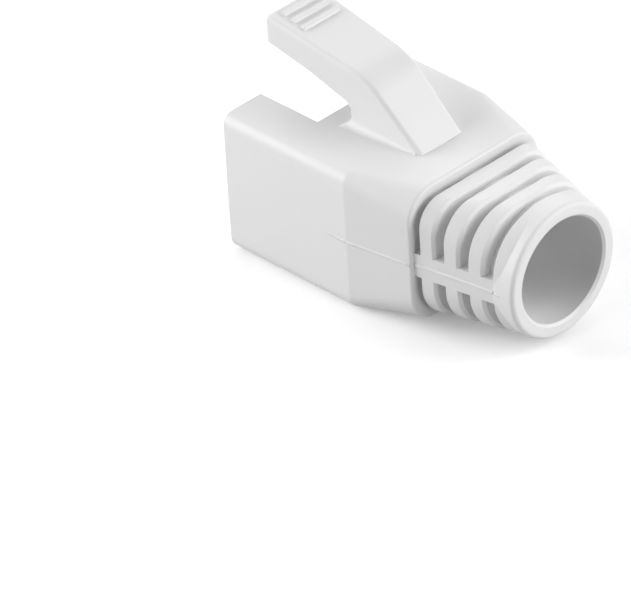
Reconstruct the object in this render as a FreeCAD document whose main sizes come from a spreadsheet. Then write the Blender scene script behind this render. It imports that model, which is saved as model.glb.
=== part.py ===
"""Strain relief boot for an eight-way modular plug: one soft moulded piece.

The boot lies on its flat underside. +X runs from the plug mouth to the cable end, +Z is up and
XZ is the plane of symmetry. Millimetres throughout. The model is built with the mouth face at
X = 0 and is moved at the end, so that its origin is the middle of the footprint.
"""
import FreeCAD, Part
import Sketcher
import math
import os

NODE = "boot"

# Driving sizes: alias, value in millimetres (or a count), what it is
SIZES = [
    ("plug_width", 11.68, "width of the modular plug that the cavity takes"),
    ("plug_clearance", 0.12, "play of the plug across the cavity"),
    ("side_wall", 1.4, "wall on each side of the cavity"),
    ("floor_wall", 1.7, "wall below the cavity"),
    ("cavity_height", 8.25, "clear height of the cavity"),
    ("roof_wall", 1.45, "wall above the cavity"),
    ("cavity_depth", 9.7, "mouth to the shoulder that stops the plug"),
    ("cavity_corner", 0.3, "radius along the cavity's long corners"),
    ("housing_length", 12.1, "straight part of the housing"),
    ("top_edge_radius", 0.9, "rounding of the housing's upper long edges"),
    ("base_edge_radius", 1.2, "rounding of the housing's lower long edges"),
    ("shoulder_end", 17.65, "mouth to the rear edge of the housing"),
    ("shoulder_width", 13.0, "housing width at its rear edge"),
    ("shoulder_rise", 0.6, "lift of the underside at the rear edge"),
    ("shoulder_radius", 2.4, "corner radius of the housing's rear edge"),
    ("axis_height", 5.8, "height of the cable's axis"),
    ("shoulder_edge_radius", 0.2, "rounding of the outline of the housing's rear edge"),
    ("mouth_edge_break", 0.2, "chamfer on the outline of the mouth"),
    ("neck_step", 0.25, "step from the housing's rear edge in to the foremost rib"),
    ("neck_top_step", 0.55, "the same step at the top"),
    ("neck_top_radius", 1.7, "upper corner radius of the foremost rib"),
    ("neck_base_radius", 3.0, "lower corner radius of the foremost rib"),
    ("neck_inset", 0.2, "how far the neck lies below the collar's surface where it runs in"),
    ("neck_flat", 0.5, "half length of the level stretches left on the neck where it runs in"),
    ("slot_number", 4, "slots along the neck, a count"),
    ("slot_first_end", 18.25, "mouth to the rear wall of the first slot"),
    ("slot_width", 0.85, "width of a slot between two ribs"),
    ("slot_pitch", 2.02, "slot to slot along the neck"),
    ("rib_edge_break", 0.2, "chamfer on each rib's rear edges"),
    ("core_wall", 0.6, "wall left around the bore under the slots"),
    ("spine_height", 1.9, "height of the side spine that joins the ribs"),
    ("collar_diameter", 10.35, "outside of the collar"),
    ("collar_length", 1.85, "length of the collar"),
    ("collar_radius", 0.35, "rounding of the collar's rim"),
    ("cable_bore", 8.1, "bore for the cable"),
    ("bore_rim_break", 0.18, "chamfer on the bore's outer rim"),
    ("notch_width", 7.1, "width of the latch notch in the roof"),
    ("notch_depth", 5.9, "length of the latch notch from the mouth"),
    ("sill_height", 1.0, "height of the sill above the cavity floor"),
    ("sill_length", 0.55, "length of the sill's level top"),
    ("sill_slope", 0.5, "length of the sill's sloping back"),
    ("sill_gap", 0.25, "slit between the sill and each side wall"),
    ("sill_radius", 0.3, "rounding of the sill's top ends"),
    ("lever_tip_inset", 0.1, "mouth face to the lever's tip"),
    ("lever_tip_height", 17.55, "height of the lever's tip"),
    ("lever_tip_width", 5.35, "lever width at its tip"),
    ("lever_foot_width", 4.2, "lever width at its foot"),
    ("lever_kink_reach", 9.75, "mouth to the lever's bend"),
    ("lever_kink_height", 15.9, "height of the lever's bend"),
    ("lever_kink_radius", 5.0, "rounding of the lever's bend"),
    ("lever_foot_reach", 14.6, "mouth to the foot of the lever's ramp"),
    ("lever_foot_lip", 0.12, "height of the small step at the foot"),
    ("lever_edge_radius", 0.35, "rounding along the lever's top edges"),
    ("lever_plate", 1.15, "thickness of the lever's top plate"),
    ("lever_tip_depth", 2.1, "height of the lever's tip face"),
    ("gap_knee_reach", 4.3, "mouth to the bend of the gap's ceiling"),
    ("gap_knee_height", 3.05, "gap height at that bend"),
    ("gap_knee_radius", 14.0, "rounding of the gap's ceiling"),
    ("gap_reach", 8.15, "mouth to the closed end of the gap"),
    ("gap_end_height", 1.75, "gap height at its closed end"),
    ("gap_end_radius", 0.8, "rounding of the gap's closed end"),
    ("channel_width", 3.1, "width of the channel under the lever"),
    ("channel_reach", 11.4, "mouth to the closed end of the channel"),
    ("root_flare", 0.7, "radius that blends the lever's root into the roof"),
    ("foot_flare", 0.15, "the same radius at the foot of the ramp"),
    ("foot_flare_inset", 0.4, "distance of that blend from the foot"),
    ("grip_number", 3, "grip bars on the lever, a count"),
    ("grip_first", 0.97, "lever tip to the middle of the first bar"),
    ("grip_pitch", 1.0, "bar to bar"),
    ("grip_thickness", 0.5, "bar size along the lever"),
    ("grip_rise", 0.22, "bar height above the lever"),
    ("grip_length", 3.45, "bar size across the lever"),
    ("overshoot", 1.0, "how far a tool reaches past what it cuts"),
    ("sink", 0.4, "how far an added block sinks into its neighbour"),
]

document = FreeCAD.newDocument("StrainReliefBoot")
sheet = document.addObject("Spreadsheet::Sheet", "Sizes")
for row, (alias, value, meaning) in enumerate(SIZES, start=1):
    sheet.set(f"A{row}", alias)
    sheet.set(f"B{row}", str(value))
    sheet.set(f"C{row}", meaning)
    sheet.setAlias(f"B{row}", alias)
document.recompute()

boot = document.addObject("PartDesign::Body", "Boot")
boot.Label = NODE
document.recompute()

# Lengths that follow from the driving sizes, as expressions
BODY_HALF = "(Sizes.plug_width + Sizes.plug_clearance) / 2 + Sizes.side_wall"
CAVITY_HALF = "(Sizes.plug_width + Sizes.plug_clearance) / 2"
ROOF = "Sizes.floor_wall + Sizes.cavity_height + Sizes.roof_wall"
CAVITY_TOP = "Sizes.floor_wall + Sizes.cavity_height"
SLOTS_END = "Sizes.slot_first_end + (Sizes.slot_number - 1) * Sizes.slot_pitch"
TOTAL = f"{SLOTS_END} + Sizes.collar_length"
CORE = "Sizes.cable_bore / 2 + Sizes.core_wall"
TOP_SLOPE = (
    "(Sizes.lever_tip_height - Sizes.lever_kink_height)"
    " / (Sizes.lever_kink_reach - Sizes.lever_tip_inset)"
)
RAMP_SLOPE = (
    f"(Sizes.lever_kink_height - ({ROOF}) - Sizes.lever_foot_lip)"
    " / (Sizes.lever_foot_reach - Sizes.lever_kink_reach)"
)
OVERSHOOT = "Sizes.overshoot"
SINK = "Sizes.sink"


def value_of(expression):
    """The number that an expression on the size sheet comes to."""
    return float(boot.evalExpression(str(expression)))


def plane_of(role):
    """One of the body's own origin planes or axes."""
    return next(item for item in boot.Origin.OriginFeatures if item.Role == role)


def new_sketch(name, role, offset="0"):
    """An empty sketch on an origin plane, moved along the plane's normal."""
    sketch = boot.newObject("Sketcher::SketchObject", name)
    sketch.AttachmentSupport = (plane_of(role), [""])
    sketch.MapMode = "FlatFace"
    sketch.setExpression("AttachmentOffset.Base.z", str(offset))
    return sketch


def pin(sketch, geometry, position, across, up):
    """Holds a point at the given distances from the sketch's origin."""
    for kind, axis, expression in (("DistanceX", -2, across), ("DistanceY", -1, up)):
        number = value_of(expression)
        if abs(number) < 1e-9:
            sketch.addConstraint(Sketcher.Constraint("PointOnObject", geometry, position, axis))
            continue
        index = sketch.addConstraint(
            Sketcher.Constraint(kind, -1, 1, geometry, position, number)
        )
        sketch.setExpression(f"Constraints[{index}]", str(expression))


def outline(sketch, corners, bulges=None):
    """Closes a profile through corners (across, up, radius or None), all expressions.

    A corner with a radius is rounded. bulges gives the edges that are arcs of less than a half
    turn instead of lines, as edge number: (radius, counterclockwise); their ends are sharp.
    """
    bulges = bulges or {}
    count = len(corners)
    points = [FreeCAD.Vector(value_of(a), value_of(b), 0) for a, b, _ in corners]
    starts = []
    ends = []
    for i, point in enumerate(points):
        if corners[i][2] is None:
            starts.append(point)
            ends.append(point)
            continue
        before = (points[i - 1] - point).normalize()
        after = (points[(i + 1) % count] - point).normalize()
        reach = value_of(corners[i][2]) / math.tan(before.getAngle(after) / 2)
        starts.append(point + before * reach)
        ends.append(point + after * reach)

    edges = []
    for i in range(count):
        a = ends[i]
        b = starts[(i + 1) % count]
        if i in bulges:
            edges.append(sketch.addGeometry(bulge_arc(a, b, *bulges[i]), False))
        else:
            edges.append(sketch.addGeometry(Part.LineSegment(a, b), False))

    # An arc runs counterclockwise, so a clockwise edge has its ends the other way round
    tails = [1 if i in bulges and not bulges[i][1] else 2 for i in range(count)]
    heads = [3 - tail for tail in tails]
    for i, (across, up, radius) in enumerate(corners):
        before = (i - 1) % count
        if radius is None:
            sketch.addConstraint(
                Sketcher.Constraint("Coincident", edges[before], tails[before], edges[i], heads[i])
            )
            pin(sketch, edges[i], heads[i], across, up)
            continue
        round_corner(sketch, points[i], starts[i], ends[i], edges[before], edges[i], corners[i])
    for i, (radius, _) in bulges.items():
        fix_radius(sketch, edges[i], radius)


def bulge_arc(a, b, radius, counterclockwise):
    """The arc of less than a half turn from a to b."""
    chord = b - a
    size = value_of(radius)
    rise = math.sqrt(size ** 2 - (chord.Length / 2) ** 2)
    left = FreeCAD.Vector(-chord.y, chord.x, 0).normalize()
    centre = (a + b) * 0.5 + left * (rise if counterclockwise else -rise)
    first, last = (a, b) if counterclockwise else (b, a)
    return arc_around(centre, size, first, last)


def arc_around(centre, radius, first, last):
    """A counterclockwise arc around a centre."""
    angles = [math.atan2(end.y - centre.y, end.x - centre.x) for end in (first, last)]
    return Part.ArcOfCircle(Part.Circle(centre, FreeCAD.Vector(0, 0, 1), radius), *angles)


def fix_radius(sketch, geometry, radius):
    """Binds a circle's or an arc's radius."""
    index = sketch.addConstraint(Sketcher.Constraint("Radius", geometry, value_of(radius)))
    sketch.setExpression(f"Constraints[{index}]", str(radius))


def round_corner(sketch, corner, start, end, before, after, sizes):
    """Joins two lines by a tangent arc around a corner that stays where its sizes put it."""
    across, up, radius = sizes
    mark = sketch.addGeometry(Part.Point(corner), True)
    pin(sketch, mark, 1, across, up)
    for line in (before, after):
        sketch.addConstraint(Sketcher.Constraint("PointOnObject", mark, 1, line))
    inward = (start - corner) + (end - corner)
    reach = (start - corner).Length
    size = value_of(radius)
    centre = corner + inward.normalize() * math.hypot(reach, size)
    turn = (start - centre).cross(end - centre).z
    first, last = (start, end) if turn > 0 else (end, start)
    arc = sketch.addGeometry(arc_around(centre, size, first, last), False)
    start_point, end_point = (1, 2) if turn > 0 else (2, 1)
    sketch.addConstraint(Sketcher.Constraint("Tangent", before, 2, arc, start_point))
    sketch.addConstraint(Sketcher.Constraint("Tangent", arc, end_point, after, 1))
    fix_radius(sketch, arc, radius)


def rounded_block(sketch, half, base, top, base_radius, top_radius):
    """A symmetric rectangle in the YZ plane, its lower and upper corners rounded."""
    outline(sketch, [
        (f"-({half})", base, base_radius),
        (half, base, base_radius),
        (half, top, top_radius),
        (f"-({half})", top, top_radius),
    ])


def feature(kind, name, profile, **properties):
    """A PartDesign feature on a sketch; text is bound as an expression, the rest is set."""
    item = boot.newObject(f"PartDesign::{kind}", name)
    item.Profile = profile
    for key, value in properties.items():
        if isinstance(value, str) and key not in ("Type", "SideType"):
            item.setExpression(key, value)
        else:
            setattr(item, key, value)
    profile.Visibility = False
    document.recompute()
    return item


def loft(name, front, rear):
    """A solid between two sections."""
    item = boot.newObject("PartDesign::AdditiveLoft", name)
    item.Profile = front
    item.Sections = [rear]
    item.Ruled = True
    document.recompute()
    return item


def edges_where(test):
    """The names of the finished shape's edges that pass a test."""
    return [f"Edge{n}" for n, edge in enumerate(boot.Tip.Shape.Edges, start=1) if test(edge)]


def work_edges(kind, name, test, size):
    """A fillet or a chamfer on the edges that pass a test."""
    names = edges_where(test)
    if not names:
        raise RuntimeError(f"{name}: no edge to work on")
    base = boot.Tip
    item = boot.newObject(f"PartDesign::{kind}", name)
    item.Base = (base, names)
    item.setExpression("Radius" if kind == "Fillet" else "Size", size)
    document.recompute()
    return item


def near(a, b, tolerance=1e-4):
    """Whether two lengths are the same."""
    return abs(a - b) < tolerance


def build_housing():
    """The straight box around the plug and the shoulder that narrows behind it."""
    front = new_sketch("ShoulderFront", "YZ_Plane", "Sizes.housing_length")
    rounded_block(front, BODY_HALF, "0", ROOF, "Sizes.base_edge_radius", "Sizes.top_edge_radius")
    rear = new_sketch("ShoulderRear", "YZ_Plane", "Sizes.shoulder_end")
    rounded_block(
        rear, "Sizes.shoulder_width / 2", "Sizes.shoulder_rise", ROOF,
        "Sizes.shoulder_radius", "Sizes.shoulder_radius",
    )
    loft("Shoulder", front, rear)

    mouth = new_sketch("MouthSection", "YZ_Plane")
    rounded_block(mouth, BODY_HALF, "0", ROOF, "Sizes.base_edge_radius", "Sizes.top_edge_radius")
    feature("Pad", "Housing", mouth, Length="Sizes.housing_length")
    work_edges("Chamfer", "MouthEdges", is_mouth_edge, "Sizes.mouth_edge_break")
    work_edges("Fillet", "ShoulderEdges", is_shoulder_edge, "Sizes.shoulder_edge_radius")


def is_mouth_edge(edge):
    """Whether an edge belongs to the outline of the mouth."""
    return all(near(vertex.X, 0) for vertex in edge.Vertexes)


def is_shoulder_edge(edge):
    """Whether an edge belongs to the outline of the housing's rear edge."""
    reach = value_of("Sizes.shoulder_end")
    if not all(near(vertex.X, reach) for vertex in edge.Vertexes):
        return False
    middle = edge.valueAt((edge.FirstParameter + edge.LastParameter) / 2)
    half = value_of("Sizes.shoulder_width / 2")
    base = value_of("Sizes.shoulder_rise")
    top = value_of(ROOF)
    radius = value_of("Sizes.shoulder_radius")
    if near(abs(middle.y), half) or near(middle.z, base) or near(middle.z, top):
        return True
    level = top - radius if middle.z > (base + top) / 2 else base + radius
    return near(math.hypot(abs(middle.y) - half + radius, middle.z - level), radius, 1e-3)


def build_neck():
    """The tapering neck, its front sunk in the housing and its rear in the collar."""
    front = new_sketch("NeckFront", "YZ_Plane", f"Sizes.shoulder_end - {SINK}")
    rounded_block(
        front, "Sizes.shoulder_width / 2 - Sizes.neck_step",
        "Sizes.shoulder_rise + Sizes.neck_step", f"{ROOF} - Sizes.neck_top_step",
        "Sizes.neck_base_radius", "Sizes.neck_top_radius",
    )
    rear = new_sketch("NeckRear", "YZ_Plane", f"{SLOTS_END} + Sizes.collar_length / 2")
    half = "(Sizes.collar_diameter / 2 - Sizes.neck_inset)"
    rounded_block(
        rear, half, f"Sizes.axis_height - {half}", f"Sizes.axis_height + {half}",
        f"{half} - Sizes.neck_flat", f"{half} - Sizes.neck_flat",
    )
    loft("Neck", front, rear)


def build_collar():
    """The plain ring at the cable end."""
    ring = new_sketch("CollarSection", "YZ_Plane", SLOTS_END)
    circle(ring, "Sizes.collar_diameter / 2")
    feature("Pad", "Collar", ring, Length="Sizes.collar_length")


def circle(sketch, radius):
    """A circle around the cable's axis, in the YZ plane."""
    centre = FreeCAD.Vector(0, value_of("Sizes.axis_height"), 0)
    item = sketch.addGeometry(
        Part.Circle(centre, FreeCAD.Vector(0, 0, 1), value_of(radius)), False
    )
    pin(sketch, item, 3, "0", "Sizes.axis_height")
    fix_radius(sketch, item, radius)


def build_lever():
    """The latch guard: a hollow tongue that rises from behind the notch to over the mouth."""
    plan = new_sketch("LeverPlan", "XY_Plane", f"{ROOF} - {SINK}")
    tip = "Sizes.lever_tip_inset"
    outline(plan, [
        (tip, "-Sizes.lever_tip_width / 2", None),
        ("Sizes.lever_foot_reach", "-Sizes.lever_foot_width / 2", None),
        ("Sizes.lever_foot_reach", "Sizes.lever_foot_width / 2", None),
        (tip, "Sizes.lever_tip_width / 2", None),
    ])
    feature(
        "Pad", "LeverBlock", plan,
        Length=f"Sizes.lever_tip_height - ({ROOF}) + {SINK} + {OVERSHOOT}",
    )

    side = new_sketch("LeverSide", "XZ_Plane")
    beyond = "Sizes.lever_foot_reach + Sizes.lever_foot_lip / 3"
    ahead = f"{tip} - {OVERSHOOT}"
    sky = f"Sizes.lever_tip_height + 2 * {OVERSHOOT}"
    outline(side, [
        (ahead, f"Sizes.lever_tip_height + {OVERSHOOT} * ({TOP_SLOPE})", None),
        ("Sizes.lever_kink_reach", "Sizes.lever_kink_height", "Sizes.lever_kink_radius"),
        (beyond, f"{ROOF} + Sizes.lever_foot_lip * (1 - ({RAMP_SLOPE}) / 3)", None),
        (beyond, sky, None),
        (ahead, sky, None),
    ])
    feature("Pocket", "LeverTop", side, Type="ThroughAll", SideType="Symmetric")
    work_edges("Fillet", "LeverEdges", is_lever_edge, "Sizes.lever_edge_radius")

    front = new_sketch("RootFlareFront", "YZ_Plane", "Sizes.gap_reach - Sizes.gap_end_radius")
    flare_section(front, "Sizes.gap_reach - Sizes.gap_end_radius", "Sizes.root_flare")
    foot = "Sizes.lever_foot_reach - Sizes.foot_flare_inset"
    rear = new_sketch("RootFlareRear", "YZ_Plane", foot)
    flare_section(rear, foot, "Sizes.foot_flare")
    loft("RootFlare", front, rear)

    gap = new_sketch("GapSide", "XZ_Plane")
    tip_bottom = "Sizes.lever_tip_height - Sizes.lever_tip_depth"
    knee = f"{ROOF} + Sizes.gap_knee_height"
    under_slope = f"({tip_bottom} - ({knee})) / (Sizes.gap_knee_reach - {tip})"
    outline(gap, [
        (ahead, ROOF, None),
        ("Sizes.gap_reach", ROOF, "Sizes.gap_end_radius"),
        ("Sizes.gap_reach", f"{ROOF} + Sizes.gap_end_height", "Sizes.gap_end_radius"),
        ("Sizes.gap_knee_reach", knee, "Sizes.gap_knee_radius"),
        (ahead, f"{tip_bottom} + {OVERSHOOT} * {under_slope}", None),
    ])
    feature("Pocket", "Gap", gap, Type="ThroughAll", SideType="Symmetric")

    channel = new_sketch("ChannelSide", "XZ_Plane")
    outline(channel, [
        (ahead, ROOF, None),
        ("Sizes.channel_reach", ROOF, None),
        (
            "Sizes.channel_reach",
            f"{ROOF} + Sizes.lever_foot_lip"
            f" + (Sizes.lever_foot_reach - Sizes.channel_reach) * ({RAMP_SLOPE})"
            f" - Sizes.lever_plate * sqrt(1 + ({RAMP_SLOPE})^2)",
            None,
        ),
        (
            "Sizes.lever_kink_reach - Sizes.lever_plate * 0.3",
            "Sizes.lever_kink_height - Sizes.lever_plate",
            "Sizes.lever_kink_radius - Sizes.lever_plate",
        ),
        (ahead, f"Sizes.lever_tip_height - Sizes.lever_plate + {OVERSHOOT} * ({TOP_SLOPE})", None),
    ])
    feature("Pocket", "Channel", channel, SideType="Symmetric", Length="Sizes.channel_width")


def lever_half(reach):
    """Half of the lever's width at a distance from the mouth, as an expression."""
    return (
        "(Sizes.lever_tip_width / 2 - (Sizes.lever_tip_width - Sizes.lever_foot_width) / 2"
        f" * ({reach} - Sizes.lever_tip_inset)"
        " / (Sizes.lever_foot_reach - Sizes.lever_tip_inset))"
    )


def is_lever_edge(edge):
    """Whether an edge runs along the top of one of the lever's sides, or belongs to its tip."""
    tip = value_of("Sizes.lever_tip_inset")
    above = value_of(f"{ROOF} + Sizes.lever_tip_depth")
    if all(near(vertex.X, tip) for vertex in edge.Vertexes):
        return max(vertex.Z for vertex in edge.Vertexes) > above
    middle = edge.valueAt((edge.FirstParameter + edge.LastParameter) / 2)
    if not near(abs(middle.y), value_of(lever_half(f"{middle.x:.6f}")), 1e-3):
        return False
    along = [vertex.X for vertex in edge.Vertexes]
    if max(along) - min(along) < 0.5:
        return False
    top = value_of("Sizes.lever_tip_height") - middle.x * value_of(TOP_SLOPE)
    return middle.z > min(top, value_of("Sizes.lever_kink_height")) - 0.4


def flare_section(sketch, reach, radius):
    """The lever's width at its root with a hollow blend down to the roof on each side."""
    half = lever_half(reach)
    outline(
        sketch,
        [
            (f"-({half} + {radius})", f"{ROOF} - {SINK}", None),
            (f"{half} + {radius}", f"{ROOF} - {SINK}", None),
            (f"{half} + {radius}", ROOF, None),
            (half, f"{ROOF} + {radius}", None),
            (f"-{half}", f"{ROOF} + {radius}", None),
            (f"-({half} + {radius})", ROOF, None),
        ],
        {2: (radius, False), 4: (radius, False)},
    )


def build_grips():
    """Low bars across the lever's top, near the tip."""
    for number in range(int(value_of("Sizes.grip_number"))):
        middle = f"Sizes.grip_first + {number} * Sizes.grip_pitch"
        bar = new_sketch(f"GripSection{number + 1}", "XZ_Plane")
        half = "Sizes.grip_thickness / 2"

        def on_top(along, rise):
            return (
                f"Sizes.lever_tip_inset + {middle} + {along}",
                f"Sizes.lever_tip_height - ({middle} + {along}) * ({TOP_SLOPE}) + {rise}",
                None,
            )

        outline(bar, [
            on_top(f"-({half})", f"-{SINK}"),
            on_top(half, f"-{SINK}"),
            on_top(f"({half} - Sizes.grip_rise / 3)", "Sizes.grip_rise"),
            on_top(f"(-({half}) + Sizes.grip_rise / 3)", "Sizes.grip_rise"),
        ])
        feature(
            "Pad", f"GripBar{number + 1}", bar,
            SideType="Symmetric", Length="Sizes.grip_length",
        )


def build_cavity():
    """The plug's cavity with its sill, the latch notch in the roof, and the cable's bore."""
    section = new_sketch("CavitySection", "YZ_Plane", f"-{OVERSHOOT}")
    rounded_block(
        section, CAVITY_HALF, "Sizes.floor_wall", CAVITY_TOP,
        "Sizes.cavity_corner", "Sizes.cavity_corner",
    )
    feature(
        "Pocket", "Cavity", section,
        Length=f"Sizes.cavity_depth + {OVERSHOOT}", Reversed=True,
    )

    sill = new_sketch("SillSide", "XZ_Plane")
    top = "Sizes.floor_wall + Sizes.sill_height"
    outline(sill, [
        ("0", f"Sizes.floor_wall - {SINK}", None),
        ("Sizes.sill_length + Sizes.sill_slope", f"Sizes.floor_wall - {SINK}", None),
        ("Sizes.sill_length + Sizes.sill_slope", "Sizes.floor_wall", None),
        ("Sizes.sill_length", top, None),
        ("0", top, None),
    ])
    feature(
        "Pad", "Sill", sill,
        SideType="Symmetric", Length=f"2 * ({CAVITY_HALF} - Sizes.sill_gap)",
    )

    notch = new_sketch("NotchPlan", "XY_Plane", ROOF)
    outline(notch, [
        (f"-{OVERSHOOT}", "-Sizes.notch_width / 2", None),
        ("Sizes.notch_depth", "-Sizes.notch_width / 2", None),
        ("Sizes.notch_depth", "Sizes.notch_width / 2", None),
        (f"-{OVERSHOOT}", "Sizes.notch_width / 2", None),
    ])
    feature("Pocket", "Notch", notch, Length="Sizes.roof_wall + Sizes.cavity_height / 2")

    bore = new_sketch("BoreSection", "YZ_Plane", TOTAL)
    circle(bore, "Sizes.cable_bore / 2")
    feature("Pocket", "Bore", bore, Length=f"{TOTAL} - Sizes.cavity_depth / 2")


def build_slots():
    """Slots around the neck's upper and lower halves, between the two side spines.

    The first one takes the sunk front of the neck with it; the housing closes it again.
    """
    beyond = f"Sizes.shoulder_width / 2 + {OVERSHOOT}"
    chord = f"sqrt(({CORE})^2 - (Sizes.spine_height / 2)^2)"
    for number in range(int(value_of("Sizes.slot_number"))):
        reach = f"Sizes.slot_first_end + {number} * Sizes.slot_pitch - Sizes.slot_width"
        length = "Sizes.slot_width"
        if number == 0:
            reach = f"Sizes.shoulder_end - {SINK} - {OVERSHOOT}"
            length = f"Sizes.slot_first_end - ({reach})"
        for side, sign in (("Upper", "+"), ("Lower", "-")):
            sketch = new_sketch(f"{side}SlotSection{number + 1}", "YZ_Plane", reach)
            edge = f"Sizes.axis_height {sign} Sizes.spine_height / 2"
            far = f"Sizes.axis_height {sign} ({ROOF})"
            outline(
                sketch,
                [
                    (f"-({beyond})", edge, None),
                    (f"-{chord}", edge, None),
                    (chord, edge, None),
                    (beyond, edge, None),
                    (beyond, far, None),
                    (f"-({beyond})", far, None),
                ],
                {1: (CORE, side == "Lower")},
            )
            feature(
                "Pocket", f"{side}Slot{number + 1}", sketch, Length=length, Reversed=True,
            )


def is_rib_edge(edge):
    """Whether an edge is one of a rib's outer rear edges, between its two spines."""
    reach = edge.Vertexes[0].X
    if not all(near(vertex.X, reach) for vertex in edge.Vertexes):
        return False
    first = value_of("Sizes.slot_first_end - Sizes.slot_width")
    pitch = value_of("Sizes.slot_pitch")
    if not any(near(reach, first + n * pitch) for n in range(1, int(value_of("Sizes.slot_number")))):
        return False
    middle = edge.valueAt((edge.FirstParameter + edge.LastParameter) / 2)
    rise = abs(middle.z - value_of("Sizes.axis_height"))
    if near(math.hypot(middle.y, rise), value_of(CORE), 1e-3):
        return False
    return not near(rise, value_of("Sizes.spine_height / 2"))


def is_rim(edge, radius, reach):
    """Whether an edge lies on a circle of a radius around the cable's axis at a distance."""
    level = value_of("Sizes.axis_height")
    points = [vertex.Point for vertex in edge.Vertexes]
    points.append(edge.valueAt((edge.FirstParameter + edge.LastParameter) / 2))
    return all(
        near(point.x, reach) and near(math.hypot(point.y, point.z - level), radius, 1e-3)
        for point in points
    )


def finish_edges():
    """The rounded rims and edges that the mould leaves."""
    total = value_of(TOTAL)
    collar = value_of("Sizes.collar_diameter / 2")
    bore = value_of("Sizes.cable_bore / 2")
    work_edges(
        "Fillet", "CollarRim", lambda edge: is_rim(edge, collar, total), "Sizes.collar_radius",
    )
    work_edges(
        "Chamfer", "BoreRim", lambda edge: is_rim(edge, bore, total), "Sizes.bore_rim_break",
    )

    sill_top = value_of("Sizes.floor_wall + Sizes.sill_height")
    sill_half = value_of(f"{CAVITY_HALF} - Sizes.sill_gap")

    def is_sill_end(edge):
        middle = edge.CenterOfMass
        level = all(near(vertex.Z, sill_top) for vertex in edge.Vertexes)
        return level and near(abs(middle.y), sill_half)

    work_edges("Fillet", "SillEnds", is_sill_end, "Sizes.sill_radius")


build_neck()
build_slots()
work_edges("Chamfer", "RibEdges", is_rib_edge, "Sizes.rib_edge_break")
build_collar()
build_housing()
build_lever()
build_grips()
build_cavity()
finish_edges()
boot.setExpression("Placement.Base.x", f"-({TOTAL}) / 2")
document.recompute()

for item in document.Objects:
    if "Invalid" in item.State or "Error" in item.State:
        raise RuntimeError(f"{item.Name} failed: {item.State}")
shape = boot.Shape
if shape.isNull() or not shape.isValid() or len(shape.Solids) != 1:
    raise RuntimeError("the boot is not one valid solid")
box = shape.BoundBox
print(f"{NODE}: {len(shape.Faces)} faces, volume {shape.Volume:.1f}")
print(f"x {box.XMin:.2f} {box.XMax:.2f} y {box.YMin:.2f} {box.YMax:.2f} z {box.ZMin:.2f} {box.ZMax:.2f}")
os.makedirs("parts", exist_ok=True)
shape.exportStep(f"parts/{NODE}.step")
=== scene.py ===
"""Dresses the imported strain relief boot: moulded white plastic, its parting beads and a white studio.

The file is laid out as an add-on and is run as a script. One operator makes each kind of piece, and
the sizes and colours that a user would change are properties of the scene. Lengths are in metres.
"""

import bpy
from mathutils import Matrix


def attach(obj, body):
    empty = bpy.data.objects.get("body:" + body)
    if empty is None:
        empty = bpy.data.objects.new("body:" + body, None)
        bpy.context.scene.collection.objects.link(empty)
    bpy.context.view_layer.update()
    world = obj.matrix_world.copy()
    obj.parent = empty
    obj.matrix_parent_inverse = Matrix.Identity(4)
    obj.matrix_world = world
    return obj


bl_info = {
    "name": "Strain Relief Boot",
    "version": (1, 0, 0),
    "blender": (4, 5, 0),
    "location": "3D View > Sidebar > Boot",
    "description": "Moulded plastic, parting beads and a white studio for a cable's strain relief boot",
    "category": "Object",
}

import bmesh
import bpy
import math
from bpy.props import FloatProperty, FloatVectorProperty, PointerProperty
from mathutils import Matrix, Vector
from mathutils.bvhtree import BVHTree

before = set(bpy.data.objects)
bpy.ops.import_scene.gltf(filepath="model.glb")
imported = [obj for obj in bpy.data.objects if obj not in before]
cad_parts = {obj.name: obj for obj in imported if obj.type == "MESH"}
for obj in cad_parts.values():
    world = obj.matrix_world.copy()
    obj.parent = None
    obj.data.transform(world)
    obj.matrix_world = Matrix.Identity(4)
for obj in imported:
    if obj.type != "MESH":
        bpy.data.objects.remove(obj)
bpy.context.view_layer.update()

MM = 0.001
WHITE = (1.0, 1.0, 1.0, 1.0)

# The ground lies just under the boot, so that the two surfaces don't share a plane.
GROUND_LEVEL = -0.02 * MM

# Each lamp's name, its direction from the boot and its power.
LAMPS = (
    ("overhead_lamp", (0.0, 0.0, 1.0), 0.09),
    ("low_rear_lamp", (0.95, 0.12, 0.25), 0.70),
    ("rear_far_lamp", (0.6, 0.6, 0.55), 0.78),
    ("front_far_lamp", (-0.6, 0.6, 0.55), 0.38),
    ("front_near_lamp", (-0.85, -0.6, 0.45), 1.24),
    ("low_side_lamp", (-0.2, -0.95, 0.25), 0.32),
)

# The picture's width and height in pixels, and the camera's focal length in the same pixels.
PICTURE = (631, 600)
FOCAL_PIXELS = 7891.0
SENSOR_WIDTH = 36.0

# A point inside the boot, the pixel that it falls on and its distance from the camera.
AIM_POINT = Vector((-2.651, 0.0, 5.736)) * MM
AIM_PIXEL = (402.511, 191.152)
AIM_DISTANCE = 0.5567

# The bead's lengths along the boot: where each begins and ends, and its share of the height there.
# Two small gaps lie where the housing ends and where the collar begins.
BEAD_RUNS = (
    (-5.1 * MM, -1.0 * MM, 0.05, 0.4),
    (-1.0 * MM, 4.3 * MM, 0.4, 0.65),
    (4.3 * MM, 4.48 * MM, 0.65, 0.4),
    (4.62 * MM, 11.28 * MM, 1.0, 1.0),
    (11.32 * MM, 12.1 * MM, 0.8, 0.05),
)
BEAD_STEP = 0.15 * MM
BEAD_FACETS = 8

# The bead's edges lie this deep in the boot, so that no gap shows along them.
BEAD_SINK = 0.02 * MM

# The search for the boot's side starts this far from its middle plane.
SEARCH_START = 50 * MM


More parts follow.
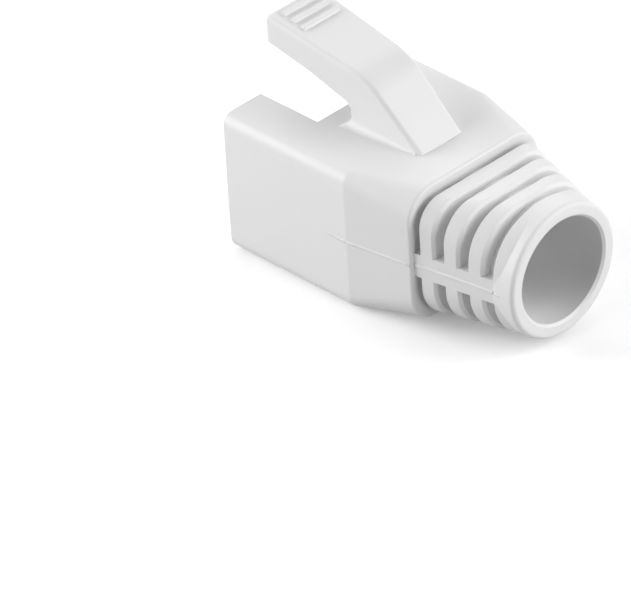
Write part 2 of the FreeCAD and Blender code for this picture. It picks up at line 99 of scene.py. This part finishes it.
class Wire:
    """A node's output that takes part in Python arithmetic: each operator adds a Math node."""

    def __init__(self, sheet, socket):
        self.sheet = sheet
        self.socket = socket

    def _math(self, operation, first, second):
        return self.sheet.add("Math", {"operation": operation}, {0: first, 1: second})

    def __add__(self, other):
        return self._math("ADD", self, other)

    def __radd__(self, other):
        return self._math("ADD", other, self)

    def __mul__(self, other):
        return self._math("MULTIPLY", self, other)

    def __rmul__(self, other):
        return self._math("MULTIPLY", other, self)

    def most(self, other):
        return self._math("MAXIMUM", self, other)


class NodeSheet:
    """The nodes of one material or of the world."""

    def __init__(self, tree):
        self.tree = tree
        tree.nodes.clear()

    def add(self, kind, settings=None, inputs=None, out=0):
        """A node of one type: its settings first, then its sockets' values or links."""
        node = self.tree.nodes.new(f"ShaderNode{kind}")
        for key, value in (settings or {}).items():
            setattr(node, key, value)
        for key, value in (inputs or {}).items():
            if isinstance(value, Wire):
                self.tree.links.new(value.socket, node.inputs[key])
            else:
                node.inputs[key].default_value = value
        return Wire(self, node.outputs[out]) if node.outputs else None


def new_material(name):
    """An empty material and the sheet of its nodes."""
    material = bpy.data.materials.new(name)
    material.use_nodes = True
    return material, NodeSheet(material.node_tree)


def moulded_plastic(settings):
    """Soft white moulding: a fine satin grain, faint flow in the tone and softly broken edges."""
    material, nodes = new_material("moulded_white_plastic")
    place = nodes.add("TexCoord", out="Object")
    flow = nodes.add("TexNoise", {}, {
        "Vector": place, "Scale": 1 / settings.flow_size, "Detail": 3.0, "Roughness": 0.5,
        "Distortion": 0.6,
    })
    grain = nodes.add("TexNoise", {}, {
        "Vector": place, "Scale": 1 / settings.grain_size, "Detail": 3.0, "Roughness": 0.6,
    })
    speckle = nodes.add("TexVoronoi", {"feature": "SMOOTH_F1"}, {
        "Vector": place, "Scale": 0.6 / settings.grain_size, "Smoothness": 1.0,
    })
    tint = settings.tint
    spread = settings.tone_spread
    lighter = [min(1.0, part * (1 + spread)) for part in tint] + [1.0]
    darker = [part * (1 - spread) for part in tint] + [1.0]
    tone = nodes.add("Mix", {"data_type": "RGBA"}, {
        "Factor": flow * 0.8 + grain * 0.2, 6: darker, 7: lighter,
    }, out=2)
    # The middle of 0.16 * flow + 0.08 * grain is 0.12, so the roughness stays around its setting.
    roughness = settings.roughness - 0.12 + 0.16 * flow + 0.08 * grain
    soft_edges = nodes.add("Bevel", {"samples": 6}, {"Radius": settings.edge_softness})
    relief = nodes.add("Bump", {}, {
        "Strength": settings.grain_strength, "Distance": settings.grain_depth,
        "Height": 0.6 * grain + 0.4 * speckle, "Normal": soft_edges,
    })
    shader = nodes.add("BsdfPrincipled", {}, {
        "Base Color": tone, "Roughness": roughness, "Normal": relief, "IOR": 1.47,
    })
    nodes.add("OutputMaterial", {}, {"Surface": shader})
    return material


def seen_or_mirrored(nodes):
    """One for a ray that comes from the view, from a reflection or through glass, or else zero."""
    seen, mirrored, through = (
        nodes.add("LightPath", out=f"Is {ray} Ray") for ray in ("Camera", "Glossy", "Transmission")
    )
    return seen.most(mirrored).most(through)


def matte(nodes, tint):
    """A dull surface of one colour."""
    return nodes.add("BsdfPrincipled", {}, {
        "Base Color": (*tint, 1.0), "Roughness": 0.9, "Specular IOR Level": 0.0,
    })


def white_ground(settings):
    """A white ground that keeps the soft shadow and throws less light back on the boot."""
    material, nodes = new_material("white_ground")
    bright = matte(nodes, settings.ground_tint)
    glow = nodes.add("Emission", {}, {"Color": WHITE, "Strength": settings.ground_glow})
    dim = matte(nodes, settings.ground_bounce)
    lit = nodes.add("AddShader", {}, {0: bright, 1: glow})
    mixed = nodes.add("MixShader", {}, {0: seen_or_mirrored(nodes), 1: dim, 2: lit})
    nodes.add("OutputMaterial", {}, {"Surface": mixed})
    return material


def link_mesh(name, build):
    """An object at the frame's origin with the mesh that build makes."""
    mesh = bpy.data.meshes.new(name)
    shape = bmesh.new()
    build(shape)
    bmesh.ops.recalc_face_normals(shape, faces=shape.faces)
    shape.to_mesh(mesh)
    shape.free()
    item = bpy.data.objects.new(name, mesh)
    bpy.context.scene.collection.objects.link(item)
    return item


def side_point(skin, along, height, side):
    """The point and normal of the boot's outside at a place along it, seen from one side."""
    start = Vector((along, side * SEARCH_START, height))
    hit, normal, _, _ = skin.ray_cast(start, Vector((0, -side, 0)))
    if hit is None:
        raise RuntimeError(f"the boot has no side at {along:.5f}")
    return hit, normal


def bead_section(shape, skin, settings, side, along, share):
    """The corners of the bead's half-round section at a place along the boot."""
    corners = []
    for turn in range(BEAD_FACETS + 1):
        angle = math.pi * turn / BEAD_FACETS
        height = settings.bead_level + settings.bead_width / 2 * math.cos(angle)
        hit, normal = side_point(skin, along, height, side)
        lift = settings.bead_height * share * math.sin(angle) - BEAD_SINK
        corners.append(shape.verts.new(hit + normal * lift))
    return corners


def bead_run(shape, skin, settings, side, run):
    """One length of the bead, a low half-round ridge that is closed at both ends."""
    first, last, first_share, last_share = run
    steps = max(2, round((last - first) / BEAD_STEP))
    rows = []
    for step in range(steps + 1):
        along = first + (last - first) * step / steps
        share = first_share + (last_share - first_share) * step / steps
        rows.append(bead_section(shape, skin, settings, side, along, share))
    for row, following in zip(rows, rows[1:]):
        for turn in range(BEAD_FACETS):
            shape.faces.new((row[turn], row[turn + 1], following[turn + 1], following[turn]))
        shape.faces.new((row[0], following[0], following[-1], row[-1]))
    shape.faces.new(rows[0])
    shape.faces.new(rows[-1][::-1])


class PlasticSettings(bpy.types.PropertyGroup):
    """The moulded plastic."""

    tint: FloatVectorProperty(
        name="Tint", description="Colour of the moulding", subtype="COLOR", size=3,
        default=(0.74, 0.74, 0.74), min=0.0, max=1.0,
    )
    tone_spread: FloatProperty(
        name="Tone spread", description="How far the tone strays from the tint", subtype="FACTOR",
        default=0.015, min=0.0, max=0.2,
    )
    roughness: FloatProperty(
        name="Roughness", description="Middle roughness of the satin surface", subtype="FACTOR",
        default=0.46, min=0.1, max=1.0,
    )
    flow_size: FloatProperty(
        name="Flow size", description="Size of the faint clouds in the tone", unit="LENGTH",
        default=0.006, min=0.001, precision=5,
    )
    grain_size: FloatProperty(
        name="Grain size", description="Size of the mould's fine grain", unit="LENGTH",
        default=0.00022, min=0.00002, precision=6,
    )
    grain_depth: FloatProperty(
        name="Grain depth", description="Depth of the mould's fine grain", unit="LENGTH",
        default=0.00001, min=0.0, precision=6,
    )
    grain_strength: FloatProperty(
        name="Grain strength", description="How strongly the grain shows", subtype="FACTOR",
        default=0.35, min=0.0, max=1.0,
    )
    edge_softness: FloatProperty(
        name="Edge softness", description="Radius of the softly broken edges", unit="LENGTH",
        default=0.00007, min=0.0, precision=6,
    )


class BeadSettings(bpy.types.PropertyGroup):
    """The parting beads along the boot's two sides."""

    bead_width: FloatProperty(
        name="Bead width", description="Width of the parting bead", unit="LENGTH",
        default=0.0003, min=0.00005, precision=6,
    )
    bead_height: FloatProperty(
        name="Bead height", description="How far the parting bead stands out", unit="LENGTH",
        default=0.0001, min=0.00001, precision=6,
    )
    bead_level: FloatProperty(
        name="Bead level", description="Height of the parting bead above the underside",
        unit="LENGTH", default=0.0058, min=0.0, precision=5,
    )


class StudioSettings(bpy.types.PropertyGroup):
    """The ground, the lamps and the camera."""

    ground_size: FloatProperty(
        name="Ground size", description="Side of the ground", unit="LENGTH", default=4.0, min=0.5,
    )
    ground_tint: FloatVectorProperty(
        name="Ground tint", description="Colour of the ground", subtype="COLOR", size=3,
        default=(0.95, 0.95, 0.95), min=0.0, max=1.0,
    )
    ground_glow: FloatProperty(
        name="Ground glow", description="Brightness that the view adds to the ground",
        subtype="FACTOR", default=0.21, min=0.0, max=1.0,
    )
    ground_bounce: FloatVectorProperty(
        name="Ground bounce", description="Colour of the light that the ground throws back",
        subtype="COLOR", size=3, default=(0.5, 0.5, 0.5), min=0.0, max=1.0,
    )
    lamp_level: FloatProperty(
        name="Lamp level", description="What each lamp's power is multiplied by", default=1.02,
        min=0.0,
    )
    lamp_size: FloatProperty(
        name="Lamp size", description="Side of each soft lamp", unit="LENGTH", default=0.25,
        min=0.01,
    )
    lamp_distance: FloatProperty(
        name="Lamp distance", description="Distance of the lamps from the boot", unit="LENGTH",
        default=0.35, min=0.1,
    )
    surround: FloatProperty(
        name="Surround", description="Strength of the even light from all round",
        subtype="FACTOR", default=0.0, min=0.0, max=1.0,
    )
    azimuth: FloatProperty(
        name="View azimuth", description="Direction of view round the boot", subtype="ANGLE",
        default=math.radians(47.088),
    )
    elevation: FloatProperty(
        name="View elevation", description="Height of the view over the horizon", subtype="ANGLE",
        default=math.radians(33.857),
    )
    roll: FloatProperty(
        name="View roll", description="Tilt of the picture", subtype="ANGLE",
        default=math.radians(-3.629),
    )


class BOOT_OT_moulded_plastic(bpy.types.Operator):
    """Give the boot its moulded plastic"""

    bl_idname = "boot.moulded_plastic"
    bl_label = "Moulded Plastic"

    def execute(self, context):
        material = moulded_plastic(context.scene.boot_plastic)
        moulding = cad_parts["boot"]
        if not moulding.material_slots:
            moulding.data.materials.append(material)
        for place in moulding.material_slots:
            place.material = material
        return {"FINISHED"}


class BOOT_OT_parting_beads(bpy.types.Operator):
    """Lay the mould's parting beads along both sides"""

    bl_idname = "boot.parting_beads"
    bl_label = "Parting Beads"

    def execute(self, context):
        settings = context.scene.boot_beads
        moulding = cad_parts["boot"]
        if not moulding.material_slots:
            raise RuntimeError("the boot has no plastic yet")
        skin = BVHTree.FromObject(moulding, context.evaluated_depsgraph_get())

        def build(shape):
            for side in (-1, 1):
                for run in BEAD_RUNS:
                    bead_run(shape, skin, settings, side, run)

        beads = link_mesh("parting_beads", build)
        for face in beads.data.polygons:
            face.use_smooth = True
        beads.data.materials.append(moulding.material_slots[0].material)
        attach(beads, "root")
        return {"FINISHED"}


class BOOT_OT_studio(bpy.types.Operator):
    """Set up the white ground, the lamps and the camera"""

    bl_idname = "boot.studio"
    bl_label = "Studio"

    def execute(self, context):
        settings = context.scene.boot_studio
        self.lay_ground(settings)
        self.surround_boot(context, settings)
        self.hang_lamps(context, settings)
        self.place_camera(context, settings)
        context.scene.view_settings.view_transform = "Standard"
        return {"FINISHED"}

    def lay_ground(self, settings):
        """A wide flat ground under the boot."""
        half = settings.ground_size / 2

        def build(shape):
            corners = ((-half, -half), (half, -half), (half, half), (-half, half))
            shape.faces.new([shape.verts.new((x, y, GROUND_LEVEL)) for x, y in corners])

        ground = link_mesh("ground", build)
        ground.data.materials.append(white_ground(settings))

    def surround_boot(self, context, settings):
        """A world that is white to the view and lights the boot no more than the settings say."""
        world = bpy.data.worlds.new("surround")
        world.use_nodes = True
        context.scene.world = world
        nodes = NodeSheet(world.node_tree)
        even = nodes.add("Background", {}, {"Color": WHITE, "Strength": settings.surround})
        white = nodes.add("Background", {}, {"Color": WHITE, "Strength": 1.0})
        both = nodes.add("MixShader", {}, {0: seen_or_mirrored(nodes), 1: even, 2: white})
        nodes.add("OutputWorld", {}, {"Surface": both})

    def hang_lamps(self, context, settings):
        """Soft square lamps above the boot and round it, turned towards it."""
        for name, direction, power in LAMPS:
            data = bpy.data.lights.new(name, "AREA")
            data.shape = "SQUARE"
            data.size = settings.lamp_size
            data.energy = power * settings.lamp_level
            lamp = bpy.data.objects.new(name, data)
            lamp.location = settings.lamp_distance * Vector(direction).normalized()
            lamp.rotation_mode = "QUATERNION"
            lamp.rotation_quaternion = (-Vector(direction)).to_track_quat("-Z", "Y")
            context.scene.collection.objects.link(lamp)

    def place_camera(self, context, settings):
        """The camera at the photograph's viewing angle, with the aim point on its pixel."""
        azimuth, elevation, roll = settings.azimuth, settings.elevation, settings.roll
        back = Vector((
            math.sin(azimuth) * math.cos(elevation), -math.cos(azimuth) * math.cos(elevation),
            math.sin(elevation),
        ))
        level = Vector((math.cos(azimuth), math.sin(azimuth), 0.0))
        upright = back.cross(level)
        right = math.cos(roll) * level + math.sin(roll) * upright
        up = math.cos(roll) * upright - math.sin(roll) * level
        across, down = (
            (pixel - size / 2) / FOCAL_PIXELS * AIM_DISTANCE
            for pixel, size in zip(AIM_PIXEL, PICTURE)
        )
        data = bpy.data.cameras.new("camera")
        data.sensor_width = SENSOR_WIDTH
        data.lens = FOCAL_PIXELS / PICTURE[0] * SENSOR_WIDTH
        data.clip_start = 0.05
        data.clip_end = 20.0
        camera = bpy.data.objects.new("camera", data)
        turn = Matrix((right, up, back)).transposed().to_4x4()
        camera.matrix_world = Matrix.Translation(
            AIM_POINT - across * right + down * up + AIM_DISTANCE * back
        ) @ turn
        context.scene.collection.objects.link(camera)
        context.scene.camera = camera


class BOOT_PT_dresser(bpy.types.Panel):
    """The boot's operators and their sizes"""

    bl_idname = "BOOT_PT_dresser"
    bl_label = "Strain Relief Boot"
    bl_space_type = "VIEW_3D"
    bl_region_type = "UI"
    bl_category = "Boot"

    def draw(self, context):
        scene = context.scene
        for operator, group in (
            ("boot.moulded_plastic", scene.boot_plastic),
            ("boot.parting_beads", scene.boot_beads),
            ("boot.studio", scene.boot_studio),
        ):
            box = self.layout.box()
            box.operator(operator)
            for key in group.__annotations__:
                box.prop(group, key)


CLASSES = (
    PlasticSettings,
    BeadSettings,
    StudioSettings,
    BOOT_OT_moulded_plastic,
    BOOT_OT_parting_beads,
    BOOT_OT_studio,
    BOOT_PT_dresser,
)


def register():
    for item in CLASSES:
        bpy.utils.register_class(item)
    bpy.types.Scene.boot_plastic = PointerProperty(type=PlasticSettings)
    bpy.types.Scene.boot_beads = PointerProperty(type=BeadSettings)
    bpy.types.Scene.boot_studio = PointerProperty(type=StudioSettings)


def unregister():
    del bpy.types.Scene.boot_studio
    del bpy.types.Scene.boot_beads
    del bpy.types.Scene.boot_plastic
    for item in reversed(CLASSES):
        bpy.utils.unregister_class(item)


def main():
    register()
    bpy.ops.boot.moulded_plastic()
    bpy.ops.boot.parting_beads()
    bpy.ops.boot.studio()


if __name__ == "__main__":
    main()
